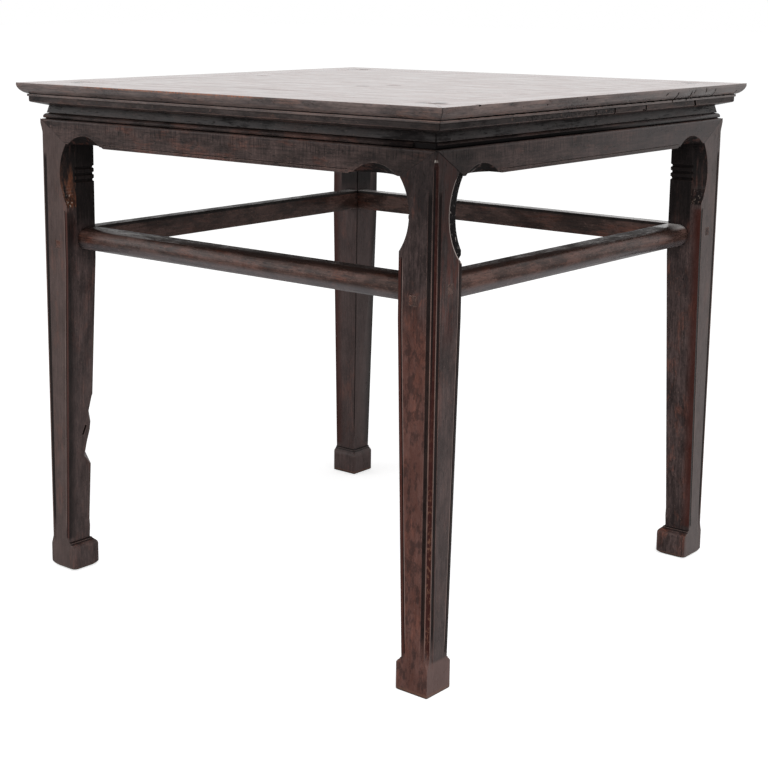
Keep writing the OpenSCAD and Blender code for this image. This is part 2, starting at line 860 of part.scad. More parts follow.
module stretcher_section() {
    nose = leg_inner + stretcher_depth - nose_radius;
    back_middle = leg_inner + stretcher_round;
    high = stretcher_middle + nose_radius;
    low = stretcher_middle - nose_radius;
    translate([nose, stretcher_middle]) circle(nose_radius, $fn = 96);
    polygon(concat(
        [[nose, high]],
        arc_points([back_middle, high - stretcher_round], stretcher_round, 90, 180, 4),
        arc_points([back_middle, low + stretcher_round], stretcher_round, 180, 270, 4),
        [[nose, low]]));
}

// A stretcher, whose two tenons pass through the upper or the lower half of the legs' mortises
module stretcher(side, upper) {
    y_start = tenon_near - leg_outer;
    start = leg_inner - overlap;
    color("#3a2a25") on_side(side) {
        along_front(2 * leg_inner) stretcher_section();
        for (end = [0, 1])
            mirror([end, 0, 0]) {
                translate([start, y_start, through_level(upper)])
                    cube([leg_outer - start, stretcher_tenon_thick, through_height]);
                translate([start, y_start, stretcher_middle - haunch_half])
                    cube([leg_outer - haunch_start - start, stretcher_tenon_thick, 2 * haunch_half]);
            }
    }
}

// ---- Assembly ----

frame_long(front);  // frame_front
frame_short(right);  // frame_right
frame_long(back);  // frame_back
frame_short(left);  // frame_left
top_board(0);  // top_board_front
top_board(1);  // top_board_middle
top_board(2);  // top_board_back
batten(-1);  // batten_left
batten(1);  // batten_right
strip(front);  // strip_front
strip(right);  // strip_right
strip(back);  // strip_back
strip(left);  // strip_left
strip_nails();
waist(front);  // waist_front
waist(right);  // waist_right
waist(back);  // waist_back
waist(left);  // waist_left
bead(front);  // bead_front
bead(right);  // bead_right
bead(back);  // bead_back
bead(left);  // bead_left
apron(front);  // apron_front
apron(right);  // apron_right
apron(back);  // apron_back
apron(left);  // apron_left
leg(-1, -1, broken = true);  // leg_front_left
leg(1, -1);  // leg_front_right
leg(-1, 1);  // leg_back_left
leg(1, 1);  // leg_back_right
stretcher(front, upper = true);  // stretcher_front
stretcher(right, upper = false);  // stretcher_right
stretcher(back, upper = true);  // stretcher_back
stretcher(left, upper = false);  // stretcher_left
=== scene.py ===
"""The looks of an old lacquered eight immortals table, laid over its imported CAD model.

Lengths are metres and colours are written as 0 to 255. The table's front is -Y and its right side is +X,
and the camera looks at the front right corner from a little above the top. The legs are called near, left,
right and far, as that camera sees them: front right, front left, back right and back left.
"""
import math

import bmesh
import bpy
from mathutils import Matrix, Vector


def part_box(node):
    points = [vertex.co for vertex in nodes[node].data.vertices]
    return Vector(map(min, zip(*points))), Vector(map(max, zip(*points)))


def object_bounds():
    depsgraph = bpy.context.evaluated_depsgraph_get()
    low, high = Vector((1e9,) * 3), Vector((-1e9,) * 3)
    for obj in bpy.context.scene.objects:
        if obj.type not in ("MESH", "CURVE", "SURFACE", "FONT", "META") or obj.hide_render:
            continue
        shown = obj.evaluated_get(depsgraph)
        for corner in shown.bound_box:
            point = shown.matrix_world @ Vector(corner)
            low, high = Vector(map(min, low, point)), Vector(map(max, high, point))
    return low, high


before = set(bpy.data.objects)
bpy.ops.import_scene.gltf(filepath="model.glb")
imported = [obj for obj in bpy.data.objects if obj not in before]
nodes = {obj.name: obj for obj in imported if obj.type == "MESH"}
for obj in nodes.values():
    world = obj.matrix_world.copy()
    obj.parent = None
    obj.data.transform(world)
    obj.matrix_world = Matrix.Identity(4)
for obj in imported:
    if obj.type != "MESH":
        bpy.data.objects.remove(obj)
cad_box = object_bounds()
scene = bpy.context.scene

X, Y, Z = range(3)
ALONG = {"front": X, "back": X, "left": Y, "right": Y}      # the axis that each side's pieces run along

# ---- Places on the CAD pieces ----

TOP = cad_box[1].z
LEG_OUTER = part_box("leg_front_right")[1].x              # outer faces of the legs, from the middle
LEG_SIZE = LEG_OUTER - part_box("leg_front_right")[0].x
APRON_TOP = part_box("apron_front")[1].z
STRETCHER_BOTTOM, STRETCHER_TOP = (corner.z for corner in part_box("stretcher_front"))
STRIP_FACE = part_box("strip_right")[1].x
FRAME_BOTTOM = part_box("strip_right")[1].z               # underside of the top frame
EDGE_LINE = FRAME_BOTTOM + 0.0044                       # fine groove in the frame's edge
EDGE_BAND = 0.004                                       # upright band along the top of that edge
MITRE_SLOPE = 0.625                                     # of the joints between aprons and legs
ARCH_TOP, ARCH_BOTTOM = APRON_TOP - 0.041, APRON_TOP - 0.146
TAPER_TOP = STRETCHER_BOTTOM - 0.017                    # the legs taper from here down to the ankle
ANKLE = 0.053                                           # top of the feet
ANKLE_WIDTH, FOOT_WIDTH = 0.048, 0.060

# ---- Places of marks on the legs ----

# Each pair is the two sides of a band, or where a mark fades from nothing to its full strength.

# Depths behind a leg's outer face, and the arch's reach from the leg's inner edge
OUTER_FACE = (0.0006, 0.0003)           # what is no deeper than this is the outer face itself
ARCH_DEPTH = (0.0004, 0.0212)
BLOCK_DEPTH = (0.0205, 0.0215)          # where the block behind the arch starts
ARCH_REACH = (0.020, 0.018)

# Mouldings beside a leg's corner, measured across its face from that corner
HOLLOW_WIDTH = (0.0054, 0.0050)
FILLET = (0.0048, 0.0068)
COVE = (0.0066, 0.0142)

# The thread down a leg's inner edge, measured across its face from that edge
THREAD_WIDTH = (0.0058, 0.0050)
THREAD_GROOVE = (0.0049, 0.0067)
THREAD_LIP = (0.0067, 0.0080)
THREAD_HEIGHTS = (0.060, ARCH_BOTTOM - 0.010)

# Heights above the floor
DARK_UPWARD = (0.34, 0.74)
PALE_DOWNWARD = (0.62, 0.30)
RED_BELOW, RED_ABOVE = (0.62, 0.50), (0.50, 0.60)
DARK_HEAD = (0.60, 0.66)
BLOCK_ABOVE = (0.60, 0.64)
BARED_BELOW = (0.735, 0.70)
HOLLOW_ABOVE, HOLLOW_WORN_BELOW, HOLLOW_DARK_ABOVE = (0.05, 0.08), (0.36, 0.28), (0.36, 0.56)
COVE_ABOVE, COVE_BELOW = (0.06, 0.10), (0.752, 0.735)
FILLET_ABOVE, FILLET_PALE_BELOW = (0.06, 0.09), (0.66, 0.52)
FOOT_BELOW, SOLE_BELOW = (0.056, 0.050), (0.008, 0.004)

CARVED_DEPTH = 0.002                    # of the round band carved beside the near leg's right arch
CARVED_RADIUS = 0.0930
CARVED_MIDDLE = (LEG_OUTER - 0.1247, APRON_TOP - 0.094)     # across the face, and its height

# ---- Camera ----

CAMERA_PLACE = (1.703835, -2.156053, 1.006695)
CAMERA_YAW = 0.713                  # turned left from +Y, in radians
CAMERA_PITCH = -0.189
CAMERA_ROLL = 0.005
CAMERA_LENS = 73.72                 # mm, on a sensor 36 mm wide
CAMERA_SHIFT = (0.0885, -0.1094)    # the photograph is cropped off its centre


def make_camera():
    camera = bpy.data.objects.new("camera", bpy.data.cameras.new("camera"))
    scene.collection.objects.link(camera)
    forward = Vector((-math.sin(CAMERA_YAW) * math.cos(CAMERA_PITCH),
                      math.cos(CAMERA_YAW) * math.cos(CAMERA_PITCH),
                      math.sin(CAMERA_PITCH)))
    level_right = Vector((math.cos(CAMERA_YAW), math.sin(CAMERA_YAW), 0))
    level_up = level_right.cross(forward)
    right = math.cos(CAMERA_ROLL) * level_right + math.sin(CAMERA_ROLL) * level_up
    up = math.cos(CAMERA_ROLL) * level_up - math.sin(CAMERA_ROLL) * level_right
    turn = Matrix((right, up, -forward)).transposed().to_4x4()
    camera.matrix_world = Matrix.Translation(CAMERA_PLACE) @ turn
    camera.data.lens = CAMERA_LENS
    camera.data.sensor_width = 36
    camera.data.shift_x, camera.data.shift_y = CAMERA_SHIFT
    camera.data.clip_start, camera.data.clip_end = 0.05, 120
    scene.camera = camera


# ---- Short calls for node trees ----
# Functions that build a part of a material take its Shader as s, and masks are sockets from 0 to 1.

def colour(red, green, blue):
    """A colour written as 0 to 255, as the linear light that nodes take."""
    def linear(part):
        part /= 255
        return part / 12.92 if part <= 0.04045 else ((part + 0.055) / 1.055) ** 2.4
    return linear(red), linear(green), linear(blue), 1


class Shader:
    """One node tree. A value is a number, a tuple, or another node's output socket."""

    def __init__(self, tree):
        self.tree = tree
        self.tree.nodes.clear()

    def add(self, kind, values=None, **settings):
        node = self.tree.nodes.new("ShaderNode" + kind)
        for name, setting in settings.items():
            setattr(node, name, setting)
        for name, value in (values or {}).items():
            self.put(node.inputs[name], value)
        return node

    def put(self, socket, value):
        if isinstance(value, bpy.types.NodeSocket):
            self.tree.links.new(value, socket)
        else:
            socket.default_value = value

    def math(self, operation, first, second=0.0):
        node = self.add("Math", operation=operation)
        self.put(node.inputs[0], first)
        self.put(node.inputs[1], second)
        return node.outputs[0]

    def plus(self, first, second):
        return self.math("ADD", first, second)

    def minus(self, first, second):
        return self.math("SUBTRACT", first, second)

    def times(self, first, second):
        return self.math("MULTIPLY", first, second)

    def length(self, across, up):
        return self.math("SQRT", self.plus(self.times(across, across), self.times(up, up)))

    def all_of(self, first, *others):
        """A mask that is 1 where all of them are, as their product."""
        for other in others:
            first = self.times(first, other)
        return first

    def ramp(self, value, low, high, start=0.0, end=1.0):
        """start at low and before it, end at high and past it, and a smooth step between them."""
        node = self.add("MapRange", {"Value": value, "From Min": low, "From Max": high,
                                     "To Min": start, "To Max": end}, interpolation_type="SMOOTHSTEP")
        return node.outputs[0]

    def band(self, value, low, high, soft=0.002):
        """1 between low and high, and 0 beyond them."""
        above, below = self.minus(value, low), self.minus(value, high)
        return self.all_of(self.ramp(above, -soft, soft), self.ramp(below, -soft, soft, 1, 0))

    def mix(self, factor, first, second, blend="MIX"):
        """A colour between two. Inputs 6 and 7 and output 2 are the Mix node's sockets for colour."""
        node = self.add("Mix", data_type="RGBA", blend_type=blend, clamp_factor=True)
        self.put(node.inputs[0], factor)
        self.put(node.inputs[6], first)
        self.put(node.inputs[7], second)
        return node.outputs[2]

    def cover(self, base, paint, *masks):
        """The base colour, with paint over it where all the masks are 1."""
        return self.mix(self.all_of(*masks), base, paint)

    def grey(self, value):
        return self.add("CombineColor", {"Red": value, "Green": value, "Blue": value}).outputs[0]

    def place(self):
        """Where the surface is, as three sockets."""
        apart = self.add("SeparateXYZ", {"Vector": self.add("TexCoord").outputs["Object"]})
        return apart.outputs[0], apart.outputs[1], apart.outputs[2]

    def toward(self):
        """Which way the surface looks, as sockets named X, Y and Z."""
        return self.add("SeparateXYZ", {"Vector": self.add("NewGeometry").outputs["Normal"]}).outputs

    def facing_right(self):
        """Surfaces that look to the table's right."""
        return self.ramp(self.toward()["X"], 0.5, 0.8)

    def noise(self, axis, stretch, scale, detail=3.0, rough=0.55, offset=0.0, bend=0.0):
        """Noise that is drawn out along one axis."""
        squeeze = [1.0, 1.0, 1.0]
        squeeze[axis] = 1 / stretch
        place = self.add("Mapping", {"Vector": self.add("TexCoord").outputs["Object"], "Scale": squeeze,
                                     "Location": (offset,) * 3}).outputs[0]
        node = self.add("TexNoise", {"Vector": place, "Scale": scale, "Detail": detail, "Roughness": rough,
                                     "Distortion": bend})
        return node.outputs["Fac"]

    def ellipse(self, middle, radii, soft=0.5):
        """A soft ellipse on a level face, at middle (x, y) with those half widths."""
        x, y, _ = self.place()
        x = self.math("DIVIDE", self.minus(x, middle[0]), radii[0])
        y = self.math("DIVIDE", self.minus(y, middle[1]), radii[1])
        return self.ramp(self.length(x, y), 1 - soft, 1 + soft, 1, 0)


def new_material(name):
    material = bpy.data.materials.new(name)
    material.use_nodes = True
    return material, Shader(material.node_tree)


# ---- Lacquered wood ----

# The colours are those of the darkest wood, its usual tone, its reddish patches, its rubbed edges, painted
# lighter partly as a highlight, and its dirt and painted shade. cool is how much of the red is left on faces
# that look to the right, which are painted greyer as sheen.
LACQUER = dict(
    dark=(38, 31, 30), body=(64, 52, 50), patch=(108, 66, 52), worn_and_highlight=(140, 114, 106), soot_and_shade=(4, 2, 2),
    patch_from=0.50, patch_to=0.64, patch_scale=30.0, patch_share=0.6, cool=0.4,
    grain=0.34, specks=0.35, edge_wear=0.8, edge_from=0.40, dirt=1.0,
    rough=0.34, rough_spread=0.10, bump=0.35, gloss=0.14)

# The upper faces of the top, which are polished by use
POLISHED = dict(
    dark=(106, 77, 71), body=(120, 90, 84), patch=(128, 90, 80), worn_and_highlight=(140, 104, 94), soot_and_shade=(40, 28, 26),
    grain=0.22, specks=0.1, dirt=0.5, rough=0.17, rough_spread=0.04, bump=0.03)

EDGE_SEEN = 0.0016                  # radius within which an edge counts as rubbed and is painted lighter, partly as a highlight
# reach of the ambient occlusion that darkens recesses as painted shade, with some dirt
CAVITY_REACH = 0.012
RELIEF = 0.0006                     # height of the bumps
JOINT_LINE = (0.0005, 0.0014)       # distances over which the black line along a flush joint fades
JOINT_CLEAR = (0.0015, 0.004)       # and over which wear starts beside it

CORNER_SHADE_MIDDLE = (0.425, -0.425, 0.815)       # middle of the painted shade, beside the near corner, under the top
CORNER_SHADE_DARKNESS, SHADE_AT_CORNER = 0.5, 0.95            # how dark the painted shade is, and how dark right at the corner
STAIN = (52, 30, 26)

# Middle, half widths and strength of each stain on the upper face
TOP_STAINS = [
    ((0.395, -0.385), (0.016, 0.010), 0.9),         # the mark beside the near corner
    ((0.372, 0.402), (0.030, 0.008), 0.5),
    ((-0.359, 0.376), (0.016, 0.014), 0.6),
    ((-0.376, -0.359), (0.016, 0.010), 0.4),
    ((-0.320, 0.031), (0.010, 0.014), 0.5),
    ((0.035, -0.112), (0.012, 0.009), 0.5),
    ((0.062, -0.060), (0.014, 0.010), 0.4),
    ((-0.040, -0.296), (0.090, 0.012), 0.25),
]


def finish(**changes):
    """The plain lacquer with some of its values changed."""
    return {**LACQUER, **changes}


class Spot:
    """Where a point lies on a leg or an apron, as distances from the table's outer faces."""

    def __init__(self, s):
        self.x, self.y, self.z = s.place()
        x, y = s.math("ABSOLUTE", self.x), s.math("ABSOLUTE", self.y)
        far, near = s.math("MAXIMUM", x, y), s.math("MINIMUM", x, y)
        self.depth = s.minus(LEG_OUTER, far)        # behind the nearer outer face
        self.along = s.minus(LEG_OUTER, near)       # across that face, from the leg's corner
        self.corner = s.math("ABSOLUTE", s.minus(x, y))
        level = s.minus(APRON_TOP, s.times(self.along, MITRE_SLOPE))
        self.mitre = s.math("ABSOLUTE", s.minus(self.z, level))


class Look:
    """A finish's colours and amounts, which turn into the polished ones on the table's upper face."""

    def __init__(self, s, values, has_top):
        self.s, self.values = s, values
        self.upper = on_top(s) if has_top else None

    def tone(self, key):
        plain = colour(*self.values[key])
        return plain if self.upper is None else self.s.mix(self.upper, plain, colour(*POLISHED[key]))

    def amount(self, key):
        plain = self.values[key]
        return plain if self.upper is None else self.s.ramp(self.upper, 0, 1, plain, POLISHED[key])


class Grain:
    """The noises that the colour, the gloss and the relief of one wood share."""

    def __init__(self, s, axis, values):
        self.cloud = s.noise(axis, stretch=2.5, scale=34, detail=6, rough=0.68, offset=3.1)
        patches = s.noise(axis, stretch=2.4, scale=values["patch_scale"], detail=6, rough=0.72, bend=0.4)
        self.patches = s.ramp(patches, values["patch_from"], values["patch_to"])
        self.streaks = s.noise(axis, stretch=14, scale=330, detail=4, rough=0.65, offset=1.7)
        fine = s.noise(axis, stretch=4, scale=640, detail=3, rough=0.7, offset=5.2)
        self.lines = s.plus(s.times(self.streaks, 0.6), s.times(fine, 0.4))
        pores = s.noise(axis, stretch=5, scale=430, detail=2, rough=0.5, offset=7.7)
        self.pores = s.ramp(pores, 0.62, 0.70)
        specks = s.noise(axis, stretch=1.6, scale=460, detail=2, rough=0.5, offset=12.3)
        self.specks = s.ramp(specks, 0.64, 0.74)


def on_top(s):
    """A mask of the table's upper face."""
    return s.all_of(s.ramp(s.toward()["Z"], 0.9, 0.98), s.ramp(s.place()[Z], TOP - 0.002, TOP - 0.001))


def unworn_wood(s, look, grain):
    """Dark clouds, reddish patches that are weaker to the right as painted sheen, fine grain, and pale
    specks.
    """
    base = s.mix(s.ramp(grain.cloud, 0.38, 0.60), look.tone("dark"), look.tone("body"))
    # Painted sheen: faces that look right keep less of the red, so they read greyer.
    warm = s.ramp(s.toward()["X"], 0.3, 0.8, 1, look.values["cool"])
    base = s.cover(base, look.tone("patch"), grain.patches, s.ramp(grain.streaks, 0.34, 0.58, 0.3, 1),
                   warm, look.values["patch_share"])
    lines = s.times(s.ramp(grain.lines, 0.38, 0.62, -1, 1), look.amount("grain"))
    base = s.mix(1.0, base, s.grey(s.plus(lines, 1.0)), "MULTIPLY")
    return s.cover(base, look.tone("worn_and_highlight"), grain.specks, look.amount("specks"))


def rubbed_and_highlit_edges(s, axis, rounded, cavity, values):
    """A mask of where an edge stands proud and its lacquer has rubbed away, which is painted lighter partly
    as a highlight.
    """
    turn = s.add("VectorMath", operation="DOT_PRODUCT")
    s.put(turn.inputs[0], rounded)
    s.put(turn.inputs[1], s.add("NewGeometry").outputs["Normal"])
    edges = s.ramp(turn.outputs["Value"], 0.90, 0.985, 1, 0)
    patchy = s.noise(axis, stretch=4, scale=70, detail=5, rough=0.75, offset=2.3)
    patchy = s.ramp(patchy, values["edge_from"], values["edge_from"] + 0.16, 0.15, values["edge_wear"])
    return s.all_of(edges, s.ramp(cavity, 0.5, 0.8), patchy)


def corner_shade(s):
    """A mask of the painted shade round the near corner under the top."""
    far = s.add("VectorMath", {"Vector": s.add("TexCoord").outputs["Object"]}, operation="DISTANCE")
    s.put(far.inputs[1], CORNER_SHADE_MIDDLE)
    ragged = s.noise(Z, stretch=2, scale=30, detail=4, rough=0.65, offset=6.6)
    reach = s.plus(far.outputs["Value"], s.times(ragged, 0.08))
    corner = s.all_of(s.ramp(Spot(s).corner, 0.001, 0.007, 1, 0), s.ramp(reach, 0.05, 0.09, 1, 0),
                      SHADE_AT_CORNER)
    return s.math("MAXIMUM", s.all_of(s.ramp(reach, 0.10, 0.24, 1, 0), CORNER_SHADE_DARKNESS), corner)


def top_stains(s):
    """A mask of the knots, tenon ends and old stains on the upper face."""
    ragged = s.noise(X, stretch=4, scale=60, detail=4, rough=0.6, offset=9.1)
    stains = 0.0
    for middle, radii, strength in TOP_STAINS:
        stain = s.all_of(s.ellipse(middle, radii), s.ramp(ragged, 0.3, 0.55, 0.3, 1), strength)
        stains = s.math("MAXIMUM", stains, stain)
    return stains


def relief(s, look, grain, rounded):
    """The bumped normal: raised grain, sunken pores, and a gently uneven surface."""
    height = s.minus(grain.lines, s.times(grain.pores, 0.5))
    height = s.plus(height, s.times(grain.cloud, 1.2))
    return s.add("Bump", {"Height": height, "Strength": look.amount("bump"), "Distance": RELIEF,
                          "Normal": rounded}).outputs[0]


def lacquered_wood(name, axis, values, has_top=False, joint=None, dress=None):
    """Old dark lacquer on wood whose grain runs along axis.

    joint(shader) is the distance to the piece's flush joint, along which nothing is rubbed.
    dress(shader, colour socket) paints marks of its own over the wood and returns the new colour.
    """
    material, s = new_material(name)
    look, grain = Look(s, values, has_top), Grain(s, axis, values)
    rounded = s.add("Bevel", {"Radius": EDGE_SEEN}, samples=4).outputs[0]
    cavity = s.add("AmbientOcclusion", {"Distance": CAVITY_REACH}, samples=6, only_local=False).outputs["AO"]

    base = unworn_wood(s, look, grain)
    rubbed_and_highlit = rubbed_and_highlit_edges(s, axis, rounded, cavity, values)
    if joint:
        gap = joint(s)
        rubbed_and_highlit = s.all_of(rubbed_and_highlit, s.ramp(gap, *JOINT_CLEAR))
        stronger_right = s.ramp(s.toward()["X"], 0.4, 0.8, 0.25, 1)
        base = s.cover(base, look.tone("soot_and_shade"), s.ramp(gap, *JOINT_LINE, 1, 0), stronger_right)
    # Rubbed edges, painted lighter partly as worn lacquer and partly as a highlight.
    base = s.cover(base, look.tone("worn_and_highlight"), rubbed_and_highlit)
    base = s.cover(base, look.tone("soot_and_shade"), grain.pores, 0.6)
    if dress:
        base = dress(s, base)

    rough = s.times(s.ramp(grain.cloud, 0.3, 0.7, -1, 1), look.amount("rough_spread"))
    rough = s.plus(rough, look.amount("rough"))
    corner_shaded = corner_shade(s)
    if has_top:
        stains = s.all_of(top_stains(s), look.upper)
        base = s.cover(base, colour(*STAIN), stains)
        rough = s.plus(rough, s.times(stains, 0.35))
        corner_shaded = s.all_of(corner_shaded, s.ramp(s.place()[Z], FRAME_BOTTOM, FRAME_BOTTOM + 0.003, 1, 0))
    # Painted shade under the top round the near corner.
    base = s.cover(base, colour(8, 5, 5), corner_shaded)
    # Painted shade, with some dirt: recesses that the ambient occlusion finds are darkened.
    base = s.cover(base, look.tone("soot_and_shade"), s.ramp(cavity, 0.15, 0.85, 1, 0), look.amount("dirt"))
    light = s.add("RGBToBW", {"Color": base}).outputs[0]
    rough = s.plus(rough, s.ramp(light, 0.004, 0.014, 0.5, 0))      # dark colour, dirt and painted shade alike, is dull

    shader = s.add("BsdfPrincipled", {"Base Color": base, "Roughness": rough, "IOR": 1.5,
                                      "Normal": relief(s, look, grain, rounded),
                                      "Specular IOR Level": values["gloss"]})
    s.add("OutputMaterial", {"Surface": shader.outputs[0]})
    return material


# ---- What is painted over a leg ----

class LegSpot(Spot):
    """Where a point lies on a leg, with the masks and noises that its marks share."""

    def __init__(self, s):
        super().__init__(s)
        width = s.add("MapRange", {"Value": self.z, "From Min": ANKLE, "From Max": TAPER_TOP,
                                   "To Min": ANKLE_WIDTH, "To Max": LEG_SIZE}).outputs[0]
        self.inner = s.minus(width, self.along)         # across the face, from its inner edge
        self.from_back = s.minus(width, self.depth)     # from the leg's side that looks to the middle
        self.outside = s.ramp(self.depth, *OUTER_FACE)

        self.right_face = s.facing_right()
        self.front_face = s.ramp(s.toward()["Y"], -0.5, -0.8)
        on_right, on_left = s.ramp(self.x, 0, 0.1), s.ramp(self.x, 0, 0.1, 1, 0)
        on_back, on_front = s.ramp(self.y, 0, 0.1), s.ramp(self.y, 0, 0.1, 1, 0)
        self.near_leg, self.left_leg = s.all_of(on_right, on_front), s.all_of(on_left, on_front)
        self.right_leg, self.far_leg = s.all_of(on_right, on_back), s.all_of(on_left, on_back)

        self.flecks = s.noise(Z, stretch=2, scale=300, detail=4, rough=0.7, offset=4.4)
        self.streaks = s.noise(Z, stretch=9, scale=150, detail=4, rough=0.65, offset=14.2)
        self.wander = s.noise(Z, stretch=3, scale=26, detail=5, rough=0.7, offset=8.4)
        self.rubbed_and_highlit = s.ramp(self.wander, 0.35, 0.6, 0.25, 0.7)


def paint_tones(s, at, base):
    """Broad differences of tone between the legs, their faces and their heights, with painted sheen that
    makes faces looking right paler and painted light from the floor on the near foot.
    """
    near_front = s.all_of(at.front_face, at.near_leg, s.ramp(at.z, *RED_BELOW))
    near_right = s.all_of(at.right_face, at.near_leg)
    mottled = s.ramp(s.noise(Z, stretch=2, scale=80, detail=5, rough=0.72, offset=20.3), 0.47, 0.60)
    patchy = s.ramp(s.noise(Z, stretch=6, scale=110, detail=4, rough=0.6, offset=16.5), 0.42, 0.60)
    less_on_right_leg = s.ramp(at.right_leg, 0, 1, 0.22, 0.1)
    base = s.cover(base, colour(22, 15, 14), s.ramp(at.z, *DARK_UPWARD), less_on_right_leg)
    # Painted sheen: faces that look right are paler, more so low down, and palest on the right leg.
    base = s.cover(base, colour(96, 84, 82), at.right_face, s.ramp(at.z, *PALE_DOWNWARD), 0.3)
    base = s.cover(base, colour(120, 112, 110), at.right_face, at.right_leg, 0.4)
    base = s.cover(base, colour(124, 75, 62), near_front, 0.38)
    base = s.cover(base, colour(30, 21, 20), mottled, s.ramp(near_front, 0, 1, 0.15, 0.6))
    base = s.cover(base, colour(100, 84, 80), at.front_face, at.left_leg, 0.45)
    base = s.cover(base, colour(88, 42, 32), near_right, s.ramp(at.z, *RED_ABOVE), patchy, 0.5)
    base = s.cover(base, colour(104, 88, 86), at.far_leg, 0.35)
    # Painted light from the floor: the near foot's right face is paler.
    base = s.cover(base, colour(126, 98, 92), near_right, s.ramp(at.z, *FOOT_BELOW), 0.4)
    return s.cover(base, colour(18, 12, 11), near_right, s.ramp(at.z, *DARK_HEAD), 0.35)


def paint_arch(s, at, base):
    """The blackened arch, the block behind it painted near black as shade over dark lacquer, bared wood on
    the left leg, and glints low down.
    """
    # Painted shade under the table, over dark lacquer: the block behind the arch is near black high up.
    base = s.cover(base, colour(9, 7, 7), s.ramp(at.depth, *BLOCK_DEPTH), s.ramp(at.z, *BLOCK_ABOVE), 0.85)
    arch = s.all_of(s.band(at.depth, *ARCH_DEPTH, soft=0.0003), s.band(at.z, ARCH_BOTTOM - 0.003, ARCH_TOP),
                    s.ramp(at.inner, *ARCH_REACH))
    blackened = s.mix(s.ramp(at.streaks, 0.50, 0.72), colour(6, 5, 5), colour(60, 34, 27))
    base = s.cover(base, blackened, arch, 0.9)
    bared = s.all_of(arch, at.left_leg, s.ramp(at.streaks, 0.42, 0.60), s.ramp(at.wander, 0.36, 0.48),
                     s.ramp(at.z, *BARED_BELOW))
    base = s.cover(base, s.mix(at.flecks, colour(36, 18, 12), colour(128, 76, 50)), bared, 0.8)
    glints = s.all_of(arch, s.ramp(at.right_leg, 0, 1, 1, 0.4), s.ramp(at.flecks, 0.58, 0.66),
                      s.ramp(at.z, ARCH_BOTTOM + 0.03, ARCH_BOTTOM + 0.01))
    return s.cover(base, colour(190, 172, 158), glints, 0.8)


def paint_corner(s, at, base):
    """The red hollow at the leg's corner, the cove beside it painted dark as shade, and the fillet painted
    pale, partly as rubbed lacquer and partly as a highlight.
    """
    toward = s.toward()
    worn_low = s.ramp(s.ramp(at.z, *HOLLOW_WORN_BELOW), 0, 1, 0.15, 0.7)
    red = s.cover(colour(50, 15, 10), colour(120, 84, 66), s.ramp(at.flecks, 0.50, 0.62), worn_low)
    looks_right = s.ramp(s.plus(toward["X"], toward["Y"]), -0.2, 0.3)
    red = s.cover(red, colour(12, 7, 7), looks_right, s.ramp(at.z, *HOLLOW_DARK_ABOVE))
    hollow = s.all_of(s.ramp(at.along, *HOLLOW_WIDTH), s.ramp(at.depth, 0.0002, 0.0006),
                      s.ramp(at.z, *HOLLOW_ABOVE))
    base = s.cover(base, red, hollow, 0.95)
    # Painted shade: the cove is dark.
    cove = s.all_of(s.band(at.along, *COVE, soft=0.0005), s.ramp(at.depth, 0.0001, 0.0007),
                    s.ramp(at.z, *COVE_ABOVE), s.ramp(at.z, *COVE_BELOW))
    base = s.cover(base, colour(9, 6, 6), cove, 0.85)
    # The fillet is painted pale, partly as rubbed lacquer and partly as a highlight.
    fillet = s.all_of(s.band(at.along, *FILLET, soft=0.0003), at.outside, s.ramp(at.z, *FILLET_ABOVE),
                      s.ramp(at.z, *FILLET_PALE_BELOW, 0.12, 1))
    return s.cover(base, colour(134, 108, 100), fillet, at.rubbed_and_highlit)


def paint_inner_edge(s, at, base):
    """The thread down the inner edge with its black groove and its lip painted pale, partly as rubbed
    lacquer and partly as a highlight, and the far leg's black arris.
    """
    arris = s.all_of(s.ramp(at.from_back, 0.0022, 0.0012), at.far_leg, s.ramp(at.z, 0.06, 0.12))
    base = s.cover(base, colour(6, 4, 4), arris, 0.85)
    thread = s.all_of(s.ramp(at.inner, *THREAD_WIDTH), s.ramp(at.depth, 0.022, 0.002),
                      s.band(at.z, *THREAD_HEIGHTS, soft=0.004))
    base = s.cover(base, s.mix(at.right_face, colour(64, 24, 15), colour(8, 6, 6)), thread, 0.75)
    groove = s.all_of(s.band(at.inner, *THREAD_GROOVE, soft=0.0002), s.band(at.z, *THREAD_HEIGHTS),
                      s.ramp(at.depth, 0.003, 0.002))
    base = s.cover(base, colour(6, 4, 4), groove, 0.9)
    # The lip is painted pale, partly as rubbed lacquer and partly as a highlight.
    lip = s.all_of(s.band(at.inner, *THREAD_LIP, soft=0.0003), at.outside,
                   s.band(at.z, THREAD_HEIGHTS[0] + 0.020, THREAD_HEIGHTS[1] - 0.002, soft=0.01))
    return s.cover(base, colour(140, 120, 114), lip, at.rubbed_and_highlit)


